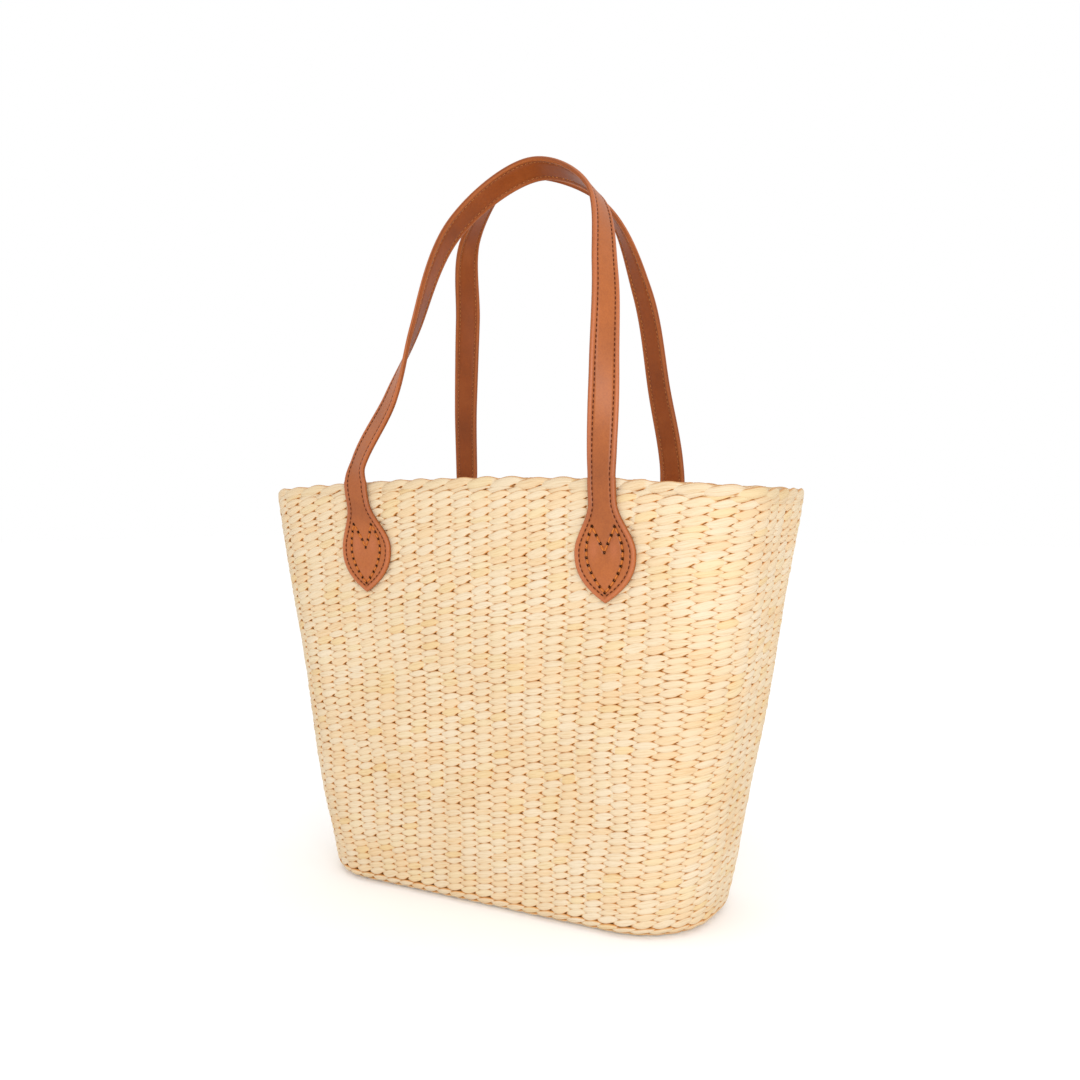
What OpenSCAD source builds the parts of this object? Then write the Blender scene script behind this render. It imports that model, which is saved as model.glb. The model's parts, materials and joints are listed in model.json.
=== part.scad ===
// Woven straw beach bag with two leather shoulder handles.
// Millimetres, +Z up.  Origin: centre of the flat base.  Long sides face -Y (front) and +Y (back).

/* [Basket] */
// Width of the basket at the rim
top_w = 444; // [400:1:480]
// Depth of the basket at the rim
top_d = 158; // [140:1:180]
// Corner radius at the rim
top_r = 47; // [35:1:60]
// Width of the basket at the base
base_w = 336; // [300:1:380]
// Depth of the basket at the base
base_d = 136; // [125:1:150]
// Corner radius at the base
base_r = 58; // [45:1:60]
// Height of the rim at the short ends
basket_h = 320; // [280:1:360]
// How much higher the rim is at the middle of the long sides
rim_rise = 9; // [0:1:14]
// Exponent of the flare from base to rim (1 is a straight taper)
flare = 0.89; // [0.8:0.01:1.1]
// Thickness of the woven wall and base
wall_t = 6; // [4:0.5:7]
// Radius with which the wall curls under to the base
curl_r = 10; // [8:1:14]
// Diameter of the twisted rope along the rim
rim_rope_d = 9; // [7:0.5:10]
// Number of upright straw stakes around the basket
stake_count = 64; // [56:4:80]

/* [Handles] */
// Width of a handle strap
strap_w = 22; // [18:0.5:24]
// Thickness of each of a strap's two leather layers
leather_t = 1.8; // [1.2:0.1:2]
// Height of the line that a handle folds about
hinge_z = 328; // [326:1:334]
// How far the top of a handle leans in from its feet
handle_lean = 58; // [40:1:60]
// Where the leaf tabs sit, left and right, seen from the handle's own side
front_tab_x = [-98, 115];
back_tab_x = [-95, 111];

/* [Leaf tabs] */
// Widest width of a leaf tab
leaf_w = 48; // [40:1:52]
// Height of the tip of a leaf above the base
leaf_tip_z = 240; // [230:1:250]
// Length from the tip to the widest place
leaf_low = 35; // [30:1:40]
// Length from the widest place to the narrow neck
leaf_high = 37; // [30:1:40]
// Number of hand stitches in the ring that holds a tab
stitch_count = 24; // [16:2:28]

/* [Hidden] */

STRAW = "#ecd6a4";
ROPE = "#e6cc94";
LEATHER = "#a65a2c";
LINING = "#8a4a24";
THREAD = "#c87838";

gap = 0.2;                    // between pieces that lie on each other
stake_w = 5;                  // width of a flattened stake
stake_t = 1.8;                // its thickness
thread_d = 0.9;               // hand sewing thread
seam_w = 0.6;                 // machine stitching, seen as a thin line
seam_t = 0.35;
seam_in = 2.4;                // from the edge of the strap to the stitching
edge_cut = 0.5;               // bevel along the edges of the leather
wall_steps = 7;               // levels up the straight part of the wall
curl_steps = 3;               // levels around the curl
route_steps = 10;             // rings between two knots of a handle
rope_sides = 8;
tip_power = 2.4;              // how full the lower half of a leaf is
ring_w = 28.6;                // widest width of the sewn ring on a leaf
ring_low = 7.5;               // height of its lowest and highest stitches above the tip
ring_high = 54;
ring_notch = 18;              // depth of the notch in its top
ring_turn = 142;              // its side is this much of a half wave, in degrees
ring_side = 0.75;             // share of the stitches that lie on the sides, the rest on the notch

rim_top = basket_h - rim_rope_d - gap;      // top of the woven wall at the short ends
leaf_stack = 2 * leather_t + gap;           // lining and outer leather on each other
strap_y = top_d / 2 + gap + leaf_stack / 2; // middle of a strap at its feet, from the centre

// Knots of each handle, seen from its own side, from the left foot to the right foot:
// [x, height above the fold line, turn of the strap about its own length in degrees]
FRONT_ROUTE = [
    [-108, 0.6, -5], [-73, 65, -31], [-53, 119, -69], [-32, 200, -90], [22, 243, -105],
    [87, 212, -89], [109, 148, -65], [114, 77, -45], [113, 0.6, -5]
];
BACK_ROUTE = [
    [-97, 0.6, -5], [-85, 81, -13], [-75, 159, -24], [-51, 229, -65], [16, 257, -101],
    [82, 217, -72], [101, 149, -35], [110, 75, -11], [110, 0.6, -3]
];

// ---- small helpers ----

function mix(a, b, t) = a + (b - a) * t;
function unit(v) = v / norm(v);
function last(list) = list[len(list) - 1];

// Faces between rings of equal size; closed joins the last ring to the first, else both ends get a cap.
// flip picks the other diagonal, so that two facing layers of a twisted strap have the same triangles.
function skin_faces(rings, closed, flip) =
    let (n = len(rings[0]), m = len(rings), spans = closed ? m : m - 1)
    concat(
        [for (i = [0:spans - 1], k = [0:n - 1])
            let (a = i * n + k, b = i * n + (k + 1) % n, c = ((i + 1) % m) * n + (k + 1) % n,
                 d = ((i + 1) % m) * n + k, pair = flip ? [[a, b, c], [a, c, d]] : [[a, b, d], [b, c, d]])
            each pair],
        closed ? [] : [[for (k = [n - 1:-1:0]) k], [for (k = [0:n - 1]) (m - 1) * n + k]]
    );

module skin(rings, closed, flip = false) {
    polyhedron([for (ring = rings, p = ring) p], skin_faces(rings, closed, flip), 4);
}

// ---- basket shape ----

// Sections are rounded rectangles; t runs from 0 at the base to 1 at the rim.
function half_w(t) = mix(base_w, top_w, pow(t, flare)) / 2;
function half_d(t) = mix(base_d, top_d, pow(t, flare)) / 2;
function corner_r(t) = mix(base_r, top_r, t);

// A point of the quarter from the middle of the front to the middle of the right end, s along it.
function quarter_point(a, b, r, s) =
    let (side = a - r, arc = s - side, turn = arc / r * 180 / PI)
    s < side ? [s, -b]
    : turn < 90 ? [side + r * sin(turn), r - b - r * cos(turn)]
    : [a, r - b + arc - r * PI / 2];

// A point of the whole outline, q from 0 to 1 counter-clockwise from the middle of the front.
function outline_point(a, b, r, q) =
    let (k = floor(q * 4), u = q * 4 - k, whole = a + b + (PI / 2 - 2) * r,
         even = k % 2 == 0, p = quarter_point(a, b, r, whole * (even ? u : 1 - u)),
         s = k < 2 ? 1 : -1)
    [p.x * s, p.y * s * (even ? 1 : -1)];

// Height of level t at a place f of the half width from the middle: the rim is arched.
function level_z(t, f) = t * (basket_h + rim_rise * (1 - f * f));

function wall_point(t, inset, q) =
    let (a = half_w(t), p = outline_point(a - inset, half_d(t) - inset, corner_r(t) - inset, q))
    [p.x, p.y, level_z(t, p.x / a)];

function wall_ring(t, inset) = [for (k = [0:stake_count - 1]) wall_point(t, inset, k / stake_count)];

// One side of the wall's profile, [t, inset], from the base up.
function wall_profile(inset, r) = concat(
    [for (i = [0:curl_steps]) let (a = 90 * i / curl_steps)
        [(curl_r - r * cos(a)) / basket_h, inset + r - r * sin(a)]],
    [for (i = [1:wall_steps]) [mix(curl_r, rim_top, i / wall_steps) / basket_h, inset]]
);

module woven_wall() {
    outer = wall_profile(0, curl_r);
    inner = wall_profile(wall_t, curl_r - wall_t);
    profile = concat(outer, [for (i = [len(inner) - 1:-1:0]) inner[i]]);
    color(STRAW) skin([for (p = profile) wall_ring(p[0], p[1])], true);
}

module woven_base() {
    inset = curl_r + gap;
    color(STRAW) linear_extrude(wall_t) polygon([for (k = [0:stake_count - 1])
        outline_point(base_w / 2 - inset, base_d / 2 - inset, base_r - inset, k / stake_count)]);
}

// Flattened stakes stand in the middle of the wall, one between two rope turns of each row.
module stakes() {
    mid = wall_t / 2;
    low = (curl_r + 1) / basket_h;
    high = (rim_top - 1) / basket_h;
    color(ROPE) for (k = [0:stake_count - 1]) {
        q = (k + 0.5) / stake_count;
        foot = wall_point(low, mid, q);
        head = wall_point(high, mid, q);
        along = wall_point(low, mid, (k + 0.6) / stake_count) - foot;
        across = unit([along.x, along.y, 0]) * stake_w / 2;
        deep = unit(cross(across, head - foot)) * stake_t / 2;
        skin([for (p = [foot, head])
            [p - across - deep, p - across + deep, p + across + deep, p + across - deep]], false);
    }
}

// Closed rope on top of the wall, following the arch of the rim.
module rim_rope() {
    r = rim_rope_d / 2;
    color(ROPE) skin([for (k = [0:stake_count - 1])
        [for (j = [0:rope_sides - 1]) let (a = 360 * j / rope_sides,
                p = wall_point(1, r + gap - r * sin(a), k / stake_count))
            p - [0, 0, r - r * cos(a)]]
    ], true);
}

// ---- leaf tabs ----

// Lie of the wall's outer face under a tab: how far out it is at height z near the long side's middle.
function face_y(z) = half_d(z / (basket_h + rim_rise * 0.8));

// Half width of the leaf at height v above its tip.
function leaf_half(v) =
    v < leaf_low ? leaf_w / 2 * (1 - pow(1 - v / leaf_low, tip_power))
    : mix(strap_w, leaf_w, 0.5 + 0.5 * cos(180 * min(1, (v - leaf_low) / leaf_high))) / 2;

neck_top = hinge_z - gap - leaf_tip_z;
leaf_len = leaf_low + leaf_high;

// Above its widest place a leaf leans towards the foot of its strap.
function neck_lean(v, shift) =
    v < leaf_low ? 0 : shift * (0.5 - 0.5 * cos(180 * (v - leaf_low) / (neck_top - leaf_low)));

module leaf_outline(shift) {
    rows = concat([for (i = [0:12]) leaf_low * i / 12], [for (i = [1:10]) leaf_low + leaf_high * i / 10],
                  [for (i = [1:4]) mix(leaf_len, neck_top, i / 4)]);
    right = [for (v = rows) [leaf_half(v) + neck_lean(v, shift), v]];
    left = [for (i = [len(rows) - 1:-1:1]) [neck_lean(rows[i], shift) - leaf_half(rows[i]), rows[i]]];
    polygon(concat(right, left));
}

// Puts a flat drawing, up its Y, on the front wall at x; it grows outward from the wall.
module on_front(x) {
    slope = atan((face_y(hinge_z) - face_y(leaf_tip_z)) / (hinge_z - leaf_tip_z));
    translate([x, -face_y(leaf_tip_z) - gap, leaf_tip_z]) rotate([90 + slope, 0, 0]) children();
}

module tab(x, shift) {
    color(LEATHER) on_front(x) translate([0, 0, leather_t + gap]) linear_extrude(leather_t)
        leaf_outline(shift);
}

module tab_lining(x, shift) {
    color(LINING) on_front(x) linear_extrude(leather_t) leaf_outline(shift);
}

// The sewn ring: a smaller leaf with a notched top, q from 0 to 1 around it from the tip.
function ring_point(q) =
    let (side = q < 0.5 ? 1 : -1, s = q < 0.5 ? 2 * q : 2 - 2 * q, f = min(1, s / ring_side),
         dip = max(0, (s - ring_side) / (1 - ring_side)))
    [side * ring_w / 2 * sin(ring_turn * f) * (1 - dip),
     mix(ring_low, ring_high, pow(f, 1.1)) - ring_notch * dip];

function ring_hole(q, shift) = let (p = ring_point(q)) [p.x + neck_lean(p.y, shift), p.y];

// Stitches show outside on the leather and again inside the basket.
module tab_thread(x, shift) {
    outside = leaf_stack + thread_d / 2;
    inside = -wall_t - 2 * gap - thread_d / 2;
    color(THREAD) on_front(x) for (k = [0:stitch_count - 1], z = [inside, outside]) {
        a = ring_hole((k + 0.14) / stitch_count, shift);
        b = ring_hole((k + 0.86) / stitch_count, shift);
        translate([a.x, a.y, z]) rotate([90, 0, atan2(b.y - a.y, b.x - a.x) + 90])
            cylinder(h = norm(b - a), d = thread_d, $fn = 16);
    }
}

// ---- handles ----

// Smooth curve through the knots; its feet stand upright.
function with_ends(k) = concat([[k[1].x, 2 * k[0].y - k[1].y, k[0].z]], k,
                               [[k[len(k) - 2].x, 2 * last(k).y - k[len(k) - 2].y, last(k).z]]);
function spline(k, i, t) = 0.5 * (2 * k[i] + (k[i + 1] - k[i - 1]) * t
    + (2 * k[i - 1] - 5 * k[i] + 4 * k[i + 1] - k[i + 2]) * t * t
    + (3 * k[i] - k[i - 1] - 3 * k[i + 1] + k[i + 2]) * t * t * t);
function knots_to_path(route) =
    let (k = with_ends(route), spans = len(route) - 1)
    concat([for (i = [1:spans], j = [0:route_steps - 1]) spline(k, i, j / route_steps)], [last(route)]);

// Path points in space: the handle leans in towards the middle of the bag, most near its top.
function lean_path(path) =
    let (top = max([for (p = path) p.y]))
    [for (p = path) [p.x, handle_lean * pow(p.y / top, 3) - strap_y, hinge_z + p.y]];

function tangents(p) = [for (i = [0:len(p) - 1])
    i == 0 ? [0, 0, 1] : i == len(p) - 1 ? [0, 0, -1] : unit(p[i + 1] - p[i - 1])];

// Carries a direction along the path without turning it about the path.
function carry(t, e, i = 0) =
    i == len(t) ? [] : let (q = unit(e - t[i] * (e * t[i]))) concat([q], carry(t, q, i + 1));

// Rings of one layer of the strap; a section point is [across the strap, out from its middle].
function strap_rings(route, section) =
    let (path = knots_to_path(route), p = lean_path(path), t = tangents(p), e = carry(t, [1, 0, 0]))
    [for (i = [0:len(p) - 1])
        let (w = e[i] * cos(path[i].z) + cross(t[i], e[i]) * sin(path[i].z), out = cross(w, t[i]))
        [for (s = section) p[i] + w * s.x + out * s.y]];

// A layer of leather, bevelled on its far side.
function layer_section(side) =
    let (w = strap_w / 2, near = gap / 2, far = near + leather_t)
    [for (s = [[-w, near], [w, near], [w, far - edge_cut], [w - edge_cut, far],
               [edge_cut - w, far], [-w, far - edge_cut]]) [s.x * side, s.y * side]];

function seam_section(x, side) =
    let (near = leather_t + 1.5 * gap, far = near + seam_t, w = seam_w / 2)
    [for (s = [[x - w, near], [x + w, near], [x + w, far], [x - w, far]]) [s.x * side, s.y * side]];

module handle_strap(route) {
    color(LEATHER) skin(strap_rings(route, layer_section(1)), false);
}

module handle_lining(route) {
    color(LINING) skin(strap_rings(route, layer_section(-1)), false, true);
}

module handle_stitching(route) {
    in = strap_w / 2 - seam_in;
    color(THREAD) for (x = [-in, in], side = [-1, 1])
        skin(strap_rings(route, seam_section(x, side)), false);
}

module at_back() {
    rotate([0, 0, 180]) children();
}

// How far each neck has to lean to meet its strap: [left, right].
front_shift = [FRONT_ROUTE[0].x - front_tab_x[0], last(FRONT_ROUTE).x - front_tab_x[1]];
back_shift = [BACK_ROUTE[0].x - back_tab_x[0], last(BACK_ROUTE).x - back_tab_x[1]];

woven_base();
woven_wall();
stakes();
rim_rope();
tab(front_tab_x[0], front_shift[0]);  // front_left_tab
tab_lining(front_tab_x[0], front_shift[0]);  // front_left_tab_lining
tab_thread(front_tab_x[0], front_shift[0]);  // front_left_tab_thread
tab(front_tab_x[1], front_shift[1]);  // front_right_tab
tab_lining(front_tab_x[1], front_shift[1]);  // front_right_tab_lining
tab_thread(front_tab_x[1], front_shift[1]);  // front_right_tab_thread
at_back() tab(back_tab_x[0], back_shift[0]);  // back_left_tab
at_back() tab_lining(back_tab_x[0], back_shift[0]);  // back_left_tab_lining
at_back() tab_thread(back_tab_x[0], back_shift[0]);  // back_left_tab_thread
at_back() tab(back_tab_x[1], back_shift[1]);  // back_right_tab
at_back() tab_lining(back_tab_x[1], back_shift[1]);  // back_right_tab_lining
at_back() tab_thread(back_tab_x[1], back_shift[1]);  // back_right_tab_thread
handle_strap(FRONT_ROUTE);  // front_handle_strap
handle_lining(FRONT_ROUTE);  // front_handle_lining
handle_stitching(FRONT_ROUTE);  // front_handle_stitching
at_back() handle_strap(BACK_ROUTE);  // back_handle_strap
at_back() handle_lining(BACK_ROUTE);  // back_handle_lining
at_back() handle_stitching(BACK_ROUTE);  // back_handle_stitching
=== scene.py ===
"""The looks of a woven straw beach bag with two leather handles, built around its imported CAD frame.

The weave is made strand by strand: every row is two strands that twist around each other, and in the wall
around its upright stakes. Each handle is one doubled leather strip that ends in two leaf tabs, with its
stitches sewn on. Lengths are millimetres until make_mesh() turns them into metres.
"""

import json
import math

import bpy
import numpy as np
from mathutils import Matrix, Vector


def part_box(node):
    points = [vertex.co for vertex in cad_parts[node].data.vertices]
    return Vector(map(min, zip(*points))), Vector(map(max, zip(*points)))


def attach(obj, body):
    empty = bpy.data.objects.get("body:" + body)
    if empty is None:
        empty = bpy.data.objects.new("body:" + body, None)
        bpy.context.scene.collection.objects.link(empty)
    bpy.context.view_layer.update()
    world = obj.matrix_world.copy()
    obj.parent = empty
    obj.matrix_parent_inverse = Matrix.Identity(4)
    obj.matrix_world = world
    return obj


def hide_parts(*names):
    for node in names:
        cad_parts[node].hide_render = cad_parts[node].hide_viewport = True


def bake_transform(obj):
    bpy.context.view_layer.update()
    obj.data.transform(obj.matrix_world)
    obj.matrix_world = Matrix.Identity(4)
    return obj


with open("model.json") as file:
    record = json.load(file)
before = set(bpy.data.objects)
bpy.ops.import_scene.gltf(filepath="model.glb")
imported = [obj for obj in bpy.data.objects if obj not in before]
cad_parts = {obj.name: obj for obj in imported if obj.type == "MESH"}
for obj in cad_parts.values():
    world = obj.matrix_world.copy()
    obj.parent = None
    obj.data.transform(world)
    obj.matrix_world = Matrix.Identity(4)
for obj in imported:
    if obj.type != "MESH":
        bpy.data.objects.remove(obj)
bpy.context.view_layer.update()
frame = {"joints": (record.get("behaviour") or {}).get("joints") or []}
rng = np.random.default_rng(11)

MM = 0.001
PI = math.pi


# ---- sizes, from the CAD frame or repeated from its design ----

def box_mm(node):
    lo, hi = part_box(node)
    return np.array(lo) / MM, np.array(hi) / MM


rim_lo, rim_hi = box_mm("rim_rope")
base_lo, base_hi = box_mm("woven_base")
leaf_lo, leaf_hi = box_mm("front_right_tab")

GAP = 0.2
CURL_R = 10.0
WALL_T = base_hi[2] - base_lo[2]
TOP_W, TOP_D = rim_hi[0] - rim_lo[0] + 2 * GAP, rim_hi[1] - rim_lo[1] + 2 * GAP
BASE_W = base_hi[0] - base_lo[0] + 2 * (CURL_R + GAP)
BASE_D = base_hi[1] - base_lo[1] + 2 * (CURL_R + GAP)
TOP_R, BASE_R = 47.0, 58.0
RIM_RISE = 9.0
BASKET_H = rim_hi[2] - RIM_RISE
FLARE = 0.89
ROPE_D = 9.0
COLUMNS = 64
HINGE_Z = frame["joints"][0]["pos_m"][2] / MM

LEAF_TIP_Z = 240.0
LEAF_W = leaf_hi[0] - leaf_lo[0]
LEAF_LOW, LEAF_HIGH, TIP_POWER = 35.0, 37.0, 2.4
STRAP_W = 22.0
STACK_T = 3.8           # both layers of leather and the gap between them
HANDLE_LEAN = 58.0      # how far a handle's crest leans towards the other handle
STRAP_Y = TOP_D / 2 + GAP + STACK_T / 2
NECK_TOP = HINGE_Z - GAP - LEAF_TIP_Z

# Knots of the handles, seen from their own side: across, height above the fold line, and turn in degrees,
# which fades in above the fold line.
ROUTES = {
    "front": [(-108, 0.6, -24), (-73, 65, -31), (-53, 119, -69), (-32, 200, -90), (22, 243, -105),
              (87, 212, -89), (109, 148, -65), (114, 77, -45), (113, 0.6, -5)],
    "back": [(-97, 0.6, -5), (-85, 81, -13), (-75, 159, -24), (-51, 229, -65), (16, 257, -101),
             (82, 217, -72), (101, 149, -35), (110, 75, -11), (110, 0.6, -3)],
}


# ---- meshes ----

def make_mesh(name, points, quads, material, tris=None, values=None, uvs=None):
    """A mesh object from millimetre points; values are numbers per point, uvs are per face corner."""
    quads = np.asarray(quads, np.int32).reshape(-1, 4)
    tris = np.zeros((0, 3), np.int32) if tris is None else np.asarray(tris, np.int32).reshape(-1, 3)
    loops = np.concatenate([quads.ravel(), tris.ravel()])
    starts = np.concatenate([np.arange(len(quads)) * 4, 4 * len(quads) + np.arange(len(tris)) * 3])
    mesh = bpy.data.meshes.new(name)
    mesh.vertices.add(len(points))
    mesh.vertices.foreach_set("co", (np.asarray(points) * MM).astype(np.float32).ravel())
    mesh.loops.add(len(loops))
    mesh.loops.foreach_set("vertex_index", loops)
    mesh.polygons.add(len(starts))
    mesh.polygons.foreach_set("loop_start", starts.astype(np.int32))
    mesh.polygons.foreach_set("use_smooth", np.ones(len(starts), bool))
    mesh.update(calc_edges=True)
    for key, value in (values or {}).items():
        layer = mesh.attributes.new(key, "FLOAT", "POINT")
        layer.data.foreach_set("value", np.asarray(value, np.float32).ravel())
    for key, uv in (uvs or {}).items():
        uv = np.asarray(uv, np.float32).reshape(-1, 2)
        full = np.zeros((len(loops), 2), np.float32)
        full[:len(uv)] = uv
        mesh.uv_layers.new(name=key).data.foreach_set("uv", full.ravel())
    obj = bpy.data.objects.new(name, mesh)
    bpy.context.scene.collection.objects.link(obj)
    mesh.materials.append(material)
    return obj


def tube_quads(rings, sides, closed):
    """Quads of a tube with its points in ring order, and the (ring, side) numbers of their corners."""
    last = rings if closed else rings - 1
    i, k = np.meshgrid(np.arange(last), np.arange(sides), indexing="ij")
    i, k = i.ravel(), k.ravel()
    ring = np.stack([i, i + 1, i + 1, i], 1)
    side = np.stack([k, k, k + 1, k + 1], 1)
    return (ring % rings) * sides + side % sides, ring, side


def end_caps(rings, sides):
    """Triangles over both ends of an open tube."""
    fan = np.arange(1, sides - 1)
    first = np.stack([0 * fan, fan + 1, fan], 1)
    last = (rings - 1) * sides + np.stack([0 * fan, fan, fan + 1], 1)
    return np.concatenate([first, last])


def smooth(x, a, b):
    """0 up to a, 1 from b, and an even curve between them."""
    t = np.clip((np.asarray(x, float) - a) / (b - a), 0, 1)
    return t * t * (3 - 2 * t)


def mix(a, b, t):
    return a + (b - a) * t


def unit(v):
    return v / np.maximum(np.linalg.norm(v, axis=-1, keepdims=True), 1e-12)


# ---- materials ----

def linear(c):
    return c / 255 / 12.92 if c <= 10 else ((c / 255 + 0.055) / 1.055) ** 2.4


def srgb(r, g, b):
    """A node colour from 0 to 255 sRGB values."""
    return linear(r), linear(g), linear(b), 1.0


def mix_colour(a, b, t):
    return tuple(x + (y - x) * t for x, y in zip(a, b))


class Material:
    """A node material being built: add() makes a node, links its inputs and returns it."""

    def __init__(self, name):
        self.material = bpy.data.materials.new(name)
        self.material.use_nodes = True
        self.tree = self.material.node_tree
        self.shader = self.tree.nodes["Principled BSDF"]

    def add(self, kind, inputs=None, **settings):
        node = self.tree.nodes.new(kind)
        for key, value in settings.items():
            setattr(node, key, value)
        self.feed(node, inputs or {})
        return node

    def feed(self, node, inputs):
        for key, value in inputs.items():
            if isinstance(value, bpy.types.NodeSocket):
                self.tree.links.new(value, node.inputs[key])
            else:
                node.inputs[key].default_value = value

    def ramp(self, factor, stops):
        node = self.add("ShaderNodeValToRGB", {"Fac": factor})
        elements = node.color_ramp.elements
        while len(elements) < len(stops):
            elements.new(0.5)
        for element, (place, colour) in zip(elements, stops):
            element.position = place
            element.color = colour
        return node.outputs["Color"]

    def blend(self, factor, a, b, mode="MIX"):
        node = self.add("ShaderNodeMix", data_type="RGBA", blend_type=mode)
        self.feed(node, {0: factor, 6: a, 7: b})
        return node.outputs[2]

    def maths(self, operation, a, b):
        node = self.add("ShaderNodeMath", {0: a, 1: b}, operation=operation)
        return node.outputs[0]

    def value(self, name):
        return self.add("ShaderNodeAttribute", attribute_name=name).outputs["Fac"]

    def noise(self, vector, scale, detail=3.0, roughness=0.55):
        return self.add("ShaderNodeTexNoise", {
            "Vector": vector, "Scale": scale, "Detail": detail, "Roughness": roughness}).outputs["Fac"]

    def stretched_noise(self, vector, stretch, detail):
        place = self.add("ShaderNodeMapping", {"Vector": vector, "Scale": stretch}).outputs[0]
        return self.noise(place, 1.0, detail)


def straw_material(name, light, gold):
    """Straw: cream on a strand's crown, golden then brown down between strands and gold along its edges as
    painted shade, streaked by its fibres.
    """
    m = Material(name)
    along = m.add("ShaderNodeUVMap", uv_map="Fibre").outputs["UV"]
    place = m.add("ShaderNodeTexCoord").outputs["Object"]
    fine = m.stretched_noise(along, (0.05, 2.2, 1.0), 3.0)
    broad = m.stretched_noise(along, (0.03, 0.7, 1.0), 2.0)
    patch = m.noise(place, 14.0, 2.0)
    # painted shade: the lower a point's depth, the darker the ramp below colours it, down to near black
    depth = m.maths("ADD", m.value("depth"), m.maths("MULTIPLY", m.maths("SUBTRACT", broad, 0.5), 0.16))
    colour = m.ramp(depth, [
        (0.02, srgb(50, 24, 10)), (0.11, srgb(172, 106, 46)), (0.23, gold),
        (0.42, mix_colour(gold, light, 0.7)), (0.60, light)])
    # painted shade: gold along each strand's upper and lower edges, where the rows overlap
    painted_edge_shade = m.add("ShaderNodeMapRange", {"Value": m.value("edge"), "From Min": 0.72, "From Max": 1.0},
                   interpolation_type="SMOOTHSTEP").outputs[0]
    colour = m.blend(m.maths("MULTIPLY", painted_edge_shade, 0.9), colour, gold)
    tint = m.ramp(m.value("tint"), [
        (0.0, srgb(255, 244, 228)), (0.30, srgb(255, 250, 241)), (0.70, srgb(255, 255, 255)),
        (0.90, srgb(255, 251, 236)), (1.0, srgb(254, 242, 214))])
    colour = m.blend(1.0, colour, tint, "MULTIPLY")
    streak = m.ramp(fine, [
        (0.30, srgb(232, 212, 182)), (0.52, srgb(255, 253, 250)), (0.75, srgb(255, 255, 255))])
    colour = m.blend(0.7, colour, streak, "MULTIPLY")
    shade = m.ramp(patch, [(0.35, srgb(248, 240, 226)), (0.65, srgb(255, 255, 255))])
    colour = m.blend(0.6, colour, shade, "MULTIPLY")
    bump = m.add("ShaderNodeBump", {"Height": fine, "Strength": 0.35, "Distance": 0.0006})
    rough = m.add("ShaderNodeMapRange", {"Value": fine, "To Min": 0.5, "To Max": 0.72})
    m.feed(m.shader, {"Base Color": colour, "Roughness": rough.outputs[0], "Normal": bump.outputs[0],
                      "Specular IOR Level": 0.35})
    return m.material


def leather_material(name, body, raised, dark, shine):
    """Smooth leather with a fine grain, a painted highlight on its rolled lip and painted shade in its
    channels and holes.
    """
    m = Material(name)
    place = m.add("ShaderNodeTexCoord").outputs["Object"]
    cloud = m.noise(place, 28.0, 4.0, 0.6)
    pores = m.add("ShaderNodeTexVoronoi", {"Vector": place, "Scale": 1500.0, "Randomness": 1.0})
    grain = m.noise(place, 700.0, 3.0, 0.6)
    colour = m.ramp(cloud, [
        (0.3, mix_colour(body, dark, 0.28)), (0.55, body), (0.75, mix_colour(body, raised, 0.35))])
    # painted highlight, painted shade, and near-black painted shade in the holes
    colour = m.blend(m.value("raised"), colour, raised)
    colour = m.blend(m.value("sunk"), colour, dark)
    colour = m.blend(m.value("hole"), colour, srgb(16, 8, 4))
    fleck = m.ramp(grain, [(0.35, srgb(236, 226, 220)), (0.6, srgb(255, 255, 255))])
    colour = m.blend(0.6, colour, fleck, "MULTIPLY")
    pore_height = m.maths("MULTIPLY", pores.outputs["Distance"], 0.6)
    height = m.maths("ADD", pore_height, m.maths("MULTIPLY", grain, 0.5))
    bump = m.add("ShaderNodeBump", {"Height": height, "Strength": 0.16, "Distance": 0.0004})
    rough = m.add("ShaderNodeMapRange", {"Value": cloud, "To Min": 0.36, "To Max": 0.5})
    open_leather = m.maths("MULTIPLY", m.maths("SUBTRACT", 1.0, m.value("hole")), shine)
    m.feed(m.shader, {"Base Color": colour, "Roughness": rough.outputs[0], "Normal": bump.outputs[0],
                      "Specular IOR Level": open_leather})
    return m.material


def thread_material(name, light, dark, twist):
    """Twisted thread: a fine diagonal lay, darker in its furrows with painted shade."""
    m = Material(name)
    place = m.add("ShaderNodeTexCoord").outputs["Object"]
    lay = m.add("ShaderNodeTexWave", {"Vector": place, "Scale": twist, "Distortion": 2.0, "Detail": 2.0},
                wave_type="BANDS", bands_direction="DIAGONAL")
    fluff = m.noise(place, 900.0)
    # painted shade: the lay's furrows take the dark colour
    colour = m.ramp(lay.outputs["Fac"], [(0.1, dark), (0.7, light)])
    colour = m.blend(0.35, colour, m.ramp(fluff, [(0.3, dark), (0.6, light)]))
    bump = m.add("ShaderNodeBump", {"Height": lay.outputs["Fac"], "Strength": 0.5, "Distance": 0.0002})
    m.feed(m.shader, {"Base Color": colour, "Roughness": 0.7, "Normal": bump.outputs[0],
                      "Specular IOR Level": 0.15})
    return m.material


STRAW = straw_material("straw weave", srgb(222, 206, 180), srgb(208, 146, 70))
ROPE = straw_material("straw rim", srgb(218, 202, 176), srgb(204, 144, 72))
STAKE = straw_material("straw stakes", srgb(170, 120, 66), srgb(120, 76, 36))
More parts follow.
